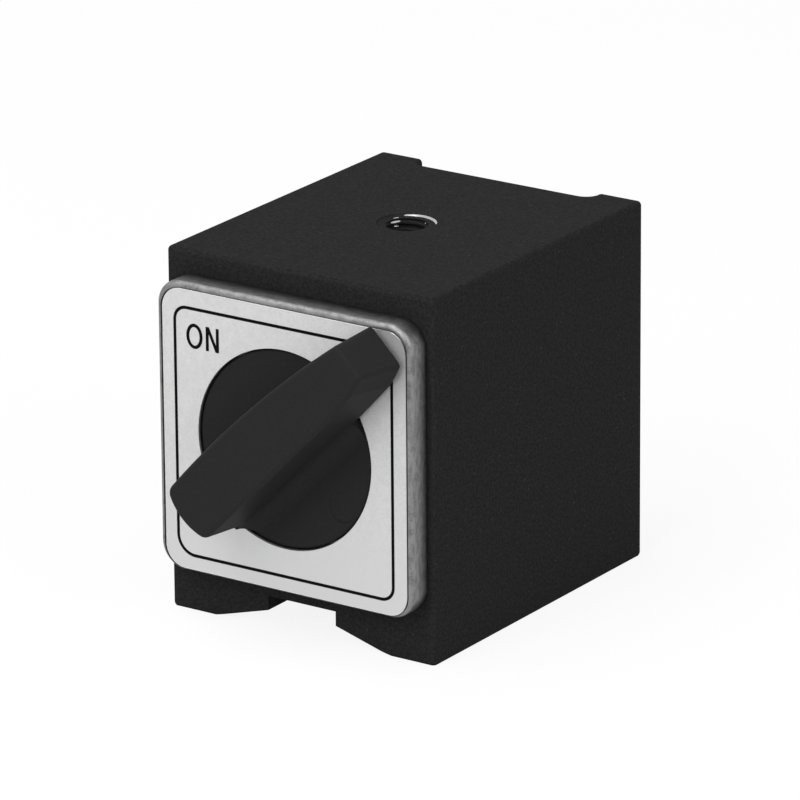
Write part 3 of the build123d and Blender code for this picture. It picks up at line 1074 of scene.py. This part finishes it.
# ---- cover plate -------------------------------------------------------------------------------
@dataclass
class CoverPlate:
    """Cast square with its printed label sheet."""

    corner: float = 4.25
    front_edge: float = 0.8
    front_steps: int = 7
    back_edge: float = 0.25
    recess_depth: float = 0.5
    label_gap: float = 0.2
    label_corner: float = 3.6
    label_edge: float = 0.07
    label_steps: int = 4
    punched_edge: float = 0.05
    punched_steps: int = 3
    burnish: float = 0.05
    opening: float = 16.4
    counterbore: float = 20.2
    counterbore_depth: float = 2.2
    screw_spread: float = 19.5
    screw_hole: float = 1.5
    screw_head: float = 2.85
    screw_rim: float = 0.3
    screw_reach: float = 8.0
    screw_steps: int = 32
    line_width: float = 0.52
    line_left: float = 2.45
    line_right: float = 2.7
    line_below: float = 2.45
    line_above: float = 3.0
    line_corners: tuple[float, float, float, float] = (2.2, 2.2, 2.2, 3.2)
    ink: float = 0.03
    stroke: float = 0.56
    cap_height: float = 3.95
    round_width: float = 3.1
    # How far a round letter stands past the others, above and below.
    round_excess: float = 0.1
    round_steps: int = 64
    # The N's width, and the width and overlap of its slanting stroke, in strokes.
    n_width: float = 2.5
    n_slant: float = 1.15
    n_drop: float = 2.0
    # The F's width, and the height and length of its lower bar, as shares of the letter's.
    f_width: float = 2.0
    f_bar_height: float = 0.47
    f_bar_length: float = 0.9
    letter_gap: float = 0.62
    on_margin: float = 2.2
    off_margin: float = 2.35
    word_drop: float = 2.5

    def __post_init__(self) -> None:
        """Reads the places of the plate, the label and the knob's axis from the frame."""
        self.low, self.high = corners("cover_plate")
        self.label_low, self.label_high = corners("label_plate")
        self.face = self.label_low.y
        self.label = plate_outline(self.label_low, self.label_high, self.label_corner)
        self.axis = bore_axis()

    def casting_mesh(self) -> Piece:
        """The plate, lofted round its rim and through the opening, with the label's seat cut in.

        Returns:
            The casting.
        """
        outer = plate_outline(self.low, self.high, self.corner)
        front, back = self.low.y, self.high.y
        step_y = back - self.counterbore_depth
        opening = on_circle(outer.points(), self.axis, self.opening)
        counterbore = on_circle(outer.points(), self.axis, self.counterbore)
        sections = [(outer.points(self.back_edge), back), (outer.points(), back - self.back_edge)]
        for inset, depth in rolled(self.front_edge, self.front_steps):
            sections.append((outer.points(inset), front + depth))
        sections += [(opening, front), (opening, step_y), (counterbore, step_y)]
        sections += [(counterbore, back)]
        plate = hoop("cover_casting", sections)
        gap, floor = self.label_gap, front + self.recess_depth
        seat = plate_outline(self.label_low, self.label_high, self.label_corner + gap, gap)
        combine(plate, prism("label_seat", seat.points(), floor, front - PAST))
        head, hole = self.screw_head, self.screw_hole
        profile = [(hole, -self.screw_reach), (hole, hole - head), (head, 0.0)]
        profile += [(head, self.screw_rim)]
        middle = (self.low.z + self.high.z) / 2
        forwards = Matrix.Rotation(RIGHT_ANGLE, 4, "X")
        for x in (-self.screw_spread, self.screw_spread):
            for rise in (-self.screw_spread, self.screw_spread):
                place = Matrix.Translation((x, floor, middle + rise)) @ forwards
                combine(plate, lathe("screw_hole", profile, self.screw_steps, place))
        return plate

    def label_mesh(self) -> Piece:
        """The anodised face of the sheet, out to its sheared edge, with its punched opening.

        Returns:
            The sheet.
        """
        face, back = self.face, self.label_high.y
        outline = self.label.points(self.label_edge + self.burnish)
        sections = [(outline, back), (outline, face)]
        for depth, widening in rolled(self.punched_edge, self.punched_steps):
            opening = on_circle(self.label.points(), self.axis, self.opening + widening)
            sections.append((opening, face + depth))
        sections.append((on_circle(self.label.points(), self.axis, self.opening), back))
        return hoop("label_sheet", sections)

    def sheared_mesh(self) -> Piece:
        """The rolled and burnished edge round the sheet.

        Returns:
            The edge, as a ring.
        """
        face, back = self.face, self.label_high.y
        sections = [(self.label.points(), back)]
        for inset, depth in rolled(self.label_edge, self.label_steps):
            sections.append((self.label.points(inset), face + depth))
        inside = self.label.points(self.label_edge + self.burnish)
        return hoop("label_sheared_edge", sections + [(inside, face), (inside, back)])

    def line_mesh(self) -> Piece:
        """The printed frame line.

        Returns:
            The line, as a thin ring.
        """
        low = (self.label_low.x + self.line_left, self.label_low.z + self.line_below)
        high = (self.label_high.x - self.line_right, self.label_high.z - self.line_above)
        line = RoundedRectangle(low, high, self.line_corners)
        half, face, top = self.line_width / 2, self.face, self.face - self.ink
        sections = ((-half, face), (-half, top), (half, top), (half, face))
        return hoop("printed_line", [(line.points(inset), y) for inset, y in sections])

    def letter(self, kind: str, left: float, base: float) -> Piece:
        """One printed capital.

        Args:
            kind: O, N or F.
            left: its left end.
            base: height of its foot.

        Returns:
            The letter, as a thin solid.
        """
        stroke, height = self.stroke, self.cap_height
        face, top = self.face, self.face - self.ink
        if kind == "O":
            middle = (left + self.round_width / 2, base + height / 2)
            circle = ring((0.0, 0.0), 1.0, self.round_steps)
            sections = []
            for inset, y in ((0.0, face), (0.0, top), (stroke, top), (stroke, face)):
                wide = self.round_width / 2 - inset
                tall = height / 2 + self.round_excess - inset
                oval = [(middle[0] + wide * x, middle[1] + tall * z) for x, z in circle]
                sections.append((oval, y))
            return hoop("letter", sections)
        if kind == "N":
            width, slant, drop = self.n_width, stroke * self.n_slant, stroke * self.n_drop
            outline = [(0, 0), (stroke, 0), (stroke, height - drop), (width - slant, 0)]
            outline += [(width, 0), (width, height), (width - stroke, height)]
            outline += [(width - stroke, drop), (slant, height), (0, height)]
        else:
            width, bar = self.f_width, height * self.f_bar_height
            end = width * self.f_bar_length
            outline = [(0, 0), (stroke, 0), (stroke, bar), (end, bar), (end, bar + stroke)]
            outline += [(stroke, bar + stroke), (stroke, height - stroke)]
            outline += [(width, height - stroke), (width, height), (0, height)]
        return prism("letter", [(left + x, base + z) for x, z in outline], face, top)

    def word_mesh(self, word: str, left: float) -> Piece:
        """A printed word.

        Args:
            word: its letters.
            left: its left end.

        Returns:
            The word, as one piece.
        """
        widths = {"O": self.round_width, "N": self.n_width, "F": self.f_width}
        base = self.label_high.z - self.line_above - self.word_drop - self.cap_height
        letters = []
        for kind in word:
            letters.append(self.letter(kind, left, base))
            left += widths[kind] + self.letter_gap
        return joined("printed_" + word.lower(), letters)

    def build(self) -> None:
        """Makes the casting, the sheet and its print, and dresses what lies between them."""
        complete(self.casting_mesh(), DIE_CAST_ZINC, "base", "cover_casting", "cover_plate")
        complete(self.label_mesh(), ANODISED_SHEET, "base", "label_sheet", "label_plate")
        complete(self.sheared_mesh(), SHEARED_ALUMINIUM, "base", "label_sheet", "label_plate")
        on_left = self.label_low.x + self.line_left + self.on_margin
        off_width = self.round_width + 2 * (self.f_width + self.letter_gap)
        off_left = self.label_high.x - self.line_right - self.off_margin - off_width
        complete(self.line_mesh(), SCREEN_INK, "base", "label_sheet")
        complete(self.word_mesh("ON", on_left), SCREEN_INK, "base", "label_sheet")
        complete(self.word_mesh("OFF", off_left), SCREEN_INK, "base", "label_sheet")
        dress(ZINC_PLATE, "plate_screws")
        dress(WOOL_FELT, "dust_seal")


# ---- knob --------------------------------------------------------------------------------------
@dataclass
class Knob:
    """Moulded disc with its lever. It is drawn lying: X along the pointer, Y across, Z outwards."""

    disc_radius: float = 16.2
    disc_sink: float = 0.5
    disc_thickness: float = 2.4
    disc_edge: float = 0.5
    disc_steps: int = 192
    height: float = 10.6
    clearance: float = 1.2
    # Corners of the lever's lower side from the tail to the pointer, at its root and its front.
    root_side: tuple[Point, ...] = ((-18.0, -4.85), (17.4, -4.8), (25.6, -4.5), (29.4, -3.4))
    front_side: tuple[Point, ...] = ((-18.0, -3.8), (17.4, -3.65), (24.9, -3.0), (28.8, -2.1))
    tail: float = 16.3
    tail_radius: float = 10.3
    tail_middle: float = 1.3
    tail_corner: float = 1.8
    # The upper side is an arc of a great radius, which is highest at one place along the lever.
    bulge: float = 190.0
    reach: float = 6.6
    reach_at: float = -1.0
    draft: float = 0.45
    pointer_corner: float = 0.9
    bend: float = 3.0
    bend_steps: int = 4
    corner_steps: int = 8
    long_steps: int = 24
    wall_steps: int = 6
    front_edge: float = 0.7
    front_steps: int = 7
    # How far solids that are to be joined reach into each other.
    overlap: float = 0.5
    cove_below: float = 3.2
    cove_above: float = 1.2
    cove_sink: float = 0.01
    cove_inset: float = 0.04
    cove_steps: int = 16
    wall_below: tuple[float, float] = (-4.553, -4.483)
    wall_above: tuple[float, float] = (6.3, 6.3)
    mark_radius: float = 2.5
    mark_depth: float = 0.15
    mark_slope: float = 0.12
    mark_place: Point = (10.6, -7.6)
    mark_steps: int = 64
    pilot_radius: float = 1.25
    pilot_spread: float = 8.5
    pilot_offset: float = 0.8
    pilot_depth: float = 8.5
    pilot_steps: int = 24
    turned: float = math.radians(45)

    def __post_init__(self) -> None:
        """Reads the label plane and the knob's axis from the frame."""
        along = Vector((math.cos(self.turned), 0.0, math.sin(self.turned)))
        across = Vector((-math.sin(self.turned), 0.0, math.cos(self.turned)))
        outwards = Vector((0.0, -1.0, 0.0))
        turn = Matrix((along, across, outwards)).transposed().to_4x4()
        x, z = bore_axis()
        self.place = Matrix.Translation((x, corners("cover_plate")[0].y, z)) @ turn
        self.face = -self.disc_sink
        self.back = self.face - self.disc_thickness

    def side(self, share: float) -> list[Point]:
        """Lower side of the lever.

        Args:
            share: how far up from its root, from 0 to 1.

        Returns:
            Its corners, from the tail to the pointer.
        """
        pairs = zip(self.root_side, self.front_side)
        return [(a[0] + (b[0] - a[0]) * share, a[1] + (b[1] - a[1]) * share) for a, b in pairs]

    def outline(self, share: float, inset: float) -> list[Point]:
        """Section of the lever, anticlockwise from the lower corner of its tail.

        Args:
            share: how far up from its root, from 0 to 1.
            inset: how far it is drawn inside the real section.

        Returns:
            The same number of points for every section.
        """
        below = self.side(share)
        end = below[-1][0]
        bulge_r = self.bulge + self.draft * (1 - share)
        upper_centre = (self.reach_at, self.reach - self.bulge)
        tail_r, tip_r, bend_r = self.tail_corner, self.pointer_corner, self.bend - inset
        tail_centre = (self.tail_radius - self.tail, self.tail_middle)
        inner_r = self.tail_radius - tail_r
        lower_tail = line_circle(below[0], below[1], tail_r, tail_centre, inner_r)
        upper_tail = circle_circle(tail_centre, inner_r, upper_centre, bulge_r - tail_r)
        drop = math.sqrt((bulge_r - tip_r) ** 2 - (end - tip_r - upper_centre[0]) ** 2)
        upper_tip = (end - tip_r, upper_centre[1] + drop)
        lower_tip = corner_centre(below[2], below[3], (end, self.reach), tip_r)
        bends = [corner_centre(*below[index - 1:index + 2], self.bend) for index in (1, 2)]
        down = [heading(below[index], below[index + 1]) - RIGHT_ANGLE for index in range(3)]
        first, last = heading(tail_centre, lower_tail), heading(tail_centre, upper_tail)
        up_angle, top_angle = heading(upper_centre, upper_tip), heading(upper_centre, upper_tail)
        points = self.corner(lower_tail, tail_r - inset, first, down[0])
        points += arc(bends[0], bend_r, down[0], down[1], self.bend_steps)
        points += arc(bends[1], bend_r, down[1], down[2], self.bend_steps)
        points += self.corner(lower_tip, tip_r - inset, down[2], 0.0)
        points += self.corner(upper_tip, tip_r - inset, 0.0, up_angle)
        top = arc(upper_centre, bulge_r - inset, up_angle, top_angle, self.long_steps)
        points += top[1:-1]
        points += self.corner(upper_tail, tail_r - inset, top_angle, last)
        tail = arc(tail_centre, self.tail_radius - inset, last, first + TURN, self.long_steps)
        return points + tail[1:-1]

    def corner(self, centre: Point, radius: float, start: float, end: float) -> list[Point]:
        """Rounded corner of the lever.

        Args:
            centre: centre of the rounding.
            radius: its radius.
            start: angle at which it starts.
            end: angle at which it ends, anticlockwise from there.

        Returns:
            Its points.
        """
        while end < start:
            end += TURN
        return arc(centre, radius, start, end, self.corner_steps)

    def lever_mesh(self) -> Piece:
        """The lever, from below the face of the disc to its rounded front edge.

        Returns:
            The lever.
        """
        total, steps = self.height + self.disc_sink, self.wall_steps
        wall = total - self.front_edge
        levels = [(0.0, self.face - self.overlap)]
        levels += [(0.0, self.face + wall * step / steps) for step in range(steps + 1)]
        for inset, drop in rolled(self.front_edge, self.front_steps)[1:]:
            levels.append((inset, self.height - drop))
        loops = []
        for inset, height in levels:
            loops.append(lying(self.outline((height - self.face) / total, inset), height))
        return loft("lever", loops)

    def cove_mesh(self, walls: tuple[float, float], radius: float, side: int) -> Piece:
        """Hollow rounding between the lever and the disc.

        Args:
            walls: where it leaves the lever, across it, at the tail and at the pointer.
            radius: its radius.
            side: 1 above the lever and -1 below it.

        Returns:
            A bar with the hollow along it, inside the disc's edge.
        """
        face = self.face - self.cove_sink
        foot = face - self.overlap
        end = -2 * RIGHT_ANGLE if side > 0 else 0.0
        loops = []
        for x, wall in zip((-self.disc_radius, self.disc_radius), walls):
            outer, inner = wall + side * radius, wall - side * radius
            outline = arc((outer, face + radius), radius, -RIGHT_ANGLE, end, self.cove_steps)
            outline += [(inner, face + radius), (inner, foot), (outer, foot)]
            loops.append([Vector((x, y, z)) for y, z in outline])
        bar = loft("cove", loops)
        rim = self.disc_radius - self.disc_edge - self.cove_inset
        limit = [(rim, self.back), (rim, self.height)]
        combine(bar, lathe("rim", limit, self.disc_steps, Matrix.Identity(4)), Join.KEEP)
        return bar

    def mesh(self) -> Piece:
        """The whole moulding.

        Returns:
            The knob, in its place.
        """
        upright, edge, face, back = Matrix.Identity(4), self.disc_edge, self.face, self.back
        profile = [(self.disc_radius, back)]
        for inset, drop in rolled(edge, self.wall_steps):
            profile.append((self.disc_radius - inset, face - drop))
        knob = lathe("knob_moulding", profile, self.disc_steps, upright)
        x, z = self.mark_place
        unturn = Matrix.Rotation(-self.turned, 4, "Z")
        place = Matrix.Translation(unturn @ Vector((x, z, 0.0)))
        slope, depth = self.mark_slope, self.mark_depth
        mark = [(self.mark_radius - slope, face - depth), (self.mark_radius + slope, face + depth)]
        combine(knob, lathe("mark", mark, self.mark_steps, place))
        lever = self.lever_mesh()
        rim, outer = self.disc_radius - edge, 2 * self.root_side[-1][0]
        space = [(rim, back), (outer, back), (outer, self.clearance), (rim, self.clearance)]
        combine(lever, lathe("under_pointer", space, self.disc_steps, upright, Ends.CLOSED))
        combine(knob, lever, Join.ADD)
        combine(knob, self.cove_mesh(self.wall_below, self.cove_below, -1), Join.ADD)
        combine(knob, self.cove_mesh(self.wall_above, self.cove_above, 1), Join.ADD)
        pilot = [(self.pilot_radius, back - PAST), (self.pilot_radius, back + self.pilot_depth)]
        for x in (-self.pilot_spread, self.pilot_spread):
            place = Matrix.Translation((x, self.pilot_offset, 0.0))
            combine(knob, lathe("pilot", pilot, self.pilot_steps, place))
        knob.data.transform(self.place)
        return knob

    def build(self) -> None:
        """Makes the knob."""
        complete(self.mesh(), MOULDED_NYLON, "rotor", "knob_plastic", "knob")


def heading(start: Point, end: Point) -> float:
    """Angle of the way from one point to another."""
    return math.atan2(end[1] - start[1], end[0] - start[0])


def corner_centre(before: Point, corner: Point, after: Point, radius: float) -> Point:
    """Centre of the rounding of a corner between two straights, on their left.

    Args:
        before: a point on the first straight.
        corner: where they meet.
        after: a point on the second straight.
        radius: radius of the rounding.

    Returns:
        Its centre.
    """
    first, second = heading(before, corner), heading(corner, after)
    half = (second - first) / 2
    middle = first + half + RIGHT_ANGLE
    reach = radius / math.cos(half)
    return (corner[0] + reach * math.cos(middle), corner[1] + reach * math.sin(middle))


def line_circle(start: Point, end: Point, shift: float, centre: Point, radius: float) -> Point:
    """Where a line moved to its left first meets a circle.

    Args:
        start: a point on the line.
        end: a later point on it.
        shift: how far it is moved.
        centre: centre of the circle.
        radius: its radius.

    Returns:
        The meeting nearest to the start of the line.
    """
    angle = heading(start, end)
    way = Vector((math.cos(angle), math.sin(angle)))
    base = Vector(start) + Vector((-way.y, way.x)) * shift - Vector(centre)
    along = base.dot(way)
    root = math.sqrt(along * along - base.length_squared + radius * radius)
    meeting = Vector(centre) + base + way * (-along - root)
    return (meeting.x, meeting.y)


def circle_circle(first: Point, radius: float, second: Point, other: float) -> Point:
    """Where two circles meet.

    Args:
        first: centre of the first circle.
        radius: its radius.
        second: centre of the other circle.
        other: its radius.

    Returns:
        The meeting with the smaller x.
    """
    gap = Vector(second) - Vector(first)
    along = (gap.length_squared + radius**2 - other**2) / (2 * gap.length)
    across = math.sqrt(radius**2 - along**2)
    way = gap.normalized()
    normal = Vector((-way.y, way.x))
    meetings = [Vector(first) + way * along + normal * side * across for side in (-1, 1)]
    return tuple(min(meetings, key=lambda meeting: meeting.x))


# ---- rotor -------------------------------------------------------------------------------------
@dataclass(frozen=True)
class Rotor:
    """What turns inside the bore. Its sizes are those of its CAD nodes."""

    def build(self) -> None:
        """Dresses each node."""
        dress(ZINC_PLATE, "knob_screws", "drive_flange", "rotor_tie_screws")
        dress(TURNED_BRASS, "rotor_front_cap", "rotor_rear_cap")
        dress(GROUND_STEEL, "rotor_pole_upper", "rotor_pole_lower")
        dress(FERRITE, "front_magnet", "middle_magnet", "rear_magnet")
        dress(TEMPERED_STEEL, "thrust_spring")


# ---- studio ------------------------------------------------------------------------------------
def direction(azimuth: float, elevation: float) -> Vector:
    """Way from the object to a place round it.

    Args:
        azimuth: degrees to the right of the front.
        elevation: degrees upwards.

    Returns:
        A vector of length 1.
    """
    around, up = math.radians(azimuth), math.radians(elevation)
    level = math.cos(up)
    return Vector((math.sin(around) * level, -math.cos(around) * level, math.sin(up)))


@dataclass(frozen=True)
class Softbox:
    """Square area lamp that looks at the middle of the object."""

    name: str
    azimuth: float
    elevation: float
    distance: float
    size: float
    power: float

    def build(self, target: Vector) -> None:
        """Hangs the lamp.

        Args:
            target: what it looks at, in metres.
        """
        data = bpy.data.lights.new(self.name, "AREA")
        data.size = self.size
        data.energy = self.power
        lamp = add_object(self.name, data)
        way = direction(self.azimuth, self.elevation)
        lamp.location = target + way * self.distance
        lamp.rotation_euler = way.to_track_quat("Z", "Y").to_euler()
        log.info("%s: %.1f W", self.name, self.power)


@dataclass
class Studio:
    """Pale floor, soft lamps and a long lens. Angles are in degrees and lengths in metres."""

    azimuth: float = 34.25
    elevation: float = 19.01
    roll: float = -0.44
    distance: float = 1.1501
    # Focal length and width of the sensor, in millimetres.
    lens: float = 324.63
    sensor: float = 36.0
    clip_start: float = 0.05
    clip_end: float = 50.0
    aside: float = 0.00128
    above: float = -0.00048
    floor_size: float = 8.0
    floor_tone: str = "f2f2f2"
    floor_glow: float = 0.88
    ambient: float = 0.5
    lamps: tuple[Softbox, ...] = (
        Softbox("top_softbox", -25.0, 68.0, 1.1, 0.7, 5.9),
        Softbox("right_softbox", 75.0, 28.0, 1.2, 0.7, 4.0),
        Softbox("front_softbox", -4.0, 35.0, 1.3, 0.7, 6.1),
    )

    def __post_init__(self) -> None:
        """Finds the middle of the body in the frame."""
        low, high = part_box("pole_block_right")
        self.middle = Vector((0.0, (low.y + high.y) / 2, (low.z + high.z) / 2))

    def build_camera(self) -> None:
        """Sets the camera up."""
        around, roll = math.radians(self.azimuth), math.radians(self.roll)
        back = direction(self.azimuth, self.elevation)
        level = Vector((math.cos(around), math.sin(around), 0.0))
        upright = back.cross(level)
        right = level * math.cos(roll) + upright * math.sin(roll)
        over = upright * math.cos(roll) - level * math.sin(roll)
        data = bpy.data.cameras.new("camera")
        data.lens = self.lens
        data.sensor_width = self.sensor
        data.clip_start = self.clip_start
        data.clip_end = self.clip_end
        camera = add_object("camera", data)
        place = self.middle - right * self.aside - over * self.above + back * self.distance
        turn = Matrix((right, over, back)).transposed().to_4x4()
        camera.matrix_world = Matrix.Translation(place) @ turn
        bpy.context.scene.camera = camera

    def build_floor(self) -> None:
        """Lays the floor, which keeps the object's shadow."""
        half = self.floor_size / 2
        work = bmesh.new()
        points = lying(((-half, -half), (half, -half), (half, half), (-half, half)), 0.0)
        work.faces.new([work.verts.new(point) for point in points])
        floor = made_from("floor", work)
        material = bpy.data.materials.new("matt_paper")
        material.use_nodes = True
        tree = material.node_tree
        tree.nodes.clear()
        diffuse = add_node(tree, "BsdfDiffuse", {"Color": linear(self.floor_tone)})
        glow = add_node(tree, "Emission", {"Strength": 1.0})
        settings = {"operation": "MULTIPLY", 1: self.floor_glow}
        share = add_node(tree, "Math", settings, {0: seen_rays(tree)})
        links = {0: share.outputs[0], 1: diffuse.outputs[0], 2: glow.outputs[0]}
        mixed = add_node(tree, "MixShader", {}, links)
        add_node(tree, "OutputMaterial", {}, {"Surface": mixed.outputs[0]})
        floor.data.materials.append(material)

    def build_world(self) -> None:
        """Sets the soft surrounding light, white where it is seen or mirrored."""
        world = bpy.data.worlds.new("studio")
        bpy.context.scene.world = world
        world.use_nodes = True
        tree = world.node_tree
        tree.nodes.clear()
        settings = {"To Min": self.ambient, "To Max": 1.0}
        strength = add_node(tree, "MapRange", settings, {"Value": seen_rays(tree)})
        links = {"Strength": strength.outputs[0]}
        light = add_node(tree, "Background", {"Color": linear("ffffff")}, links)
        add_node(tree, "OutputWorld", {}, {"Surface": light.outputs[0]})

    def build(self) -> None:
        """Sets the whole studio up."""
        self.build_camera()
        self.build_floor()
        self.build_world()
        for lamp in self.lamps:
            lamp.build(self.middle)
        bpy.context.scene.view_settings.view_transform = "Standard"
        log.info("studio ready")


def seen_rays(tree: bpy.types.NodeTree) -> Socket:
    """Value that is 1 for what the camera sees, directly, in a reflection or through glass.

    Args:
        tree: node tree of the floor or the world.

    Returns:
        The output that carries it.
    """
    path = add_node(tree, "LightPath")
    seen = path.outputs["Is Camera Ray"]
    for other in ("Is Glossy Ray", "Is Transmission Ray"):
        links = {0: seen, 1: path.outputs[other]}
        seen = add_node(tree, "Math", {"operation": "MAXIMUM"}, links).outputs[0]
    return seen


def main() -> None:
    """Builds the object and the studio."""
    logging.basicConfig(level=logging.INFO, format="%(message)s")
    for assembly in (PaintedBody(), CoverPlate(), Knob(), Rotor(), Studio()):
        log.info("building %s", type(assembly).__name__)
        assembly.build()


if __name__ == "__main__":
    main()
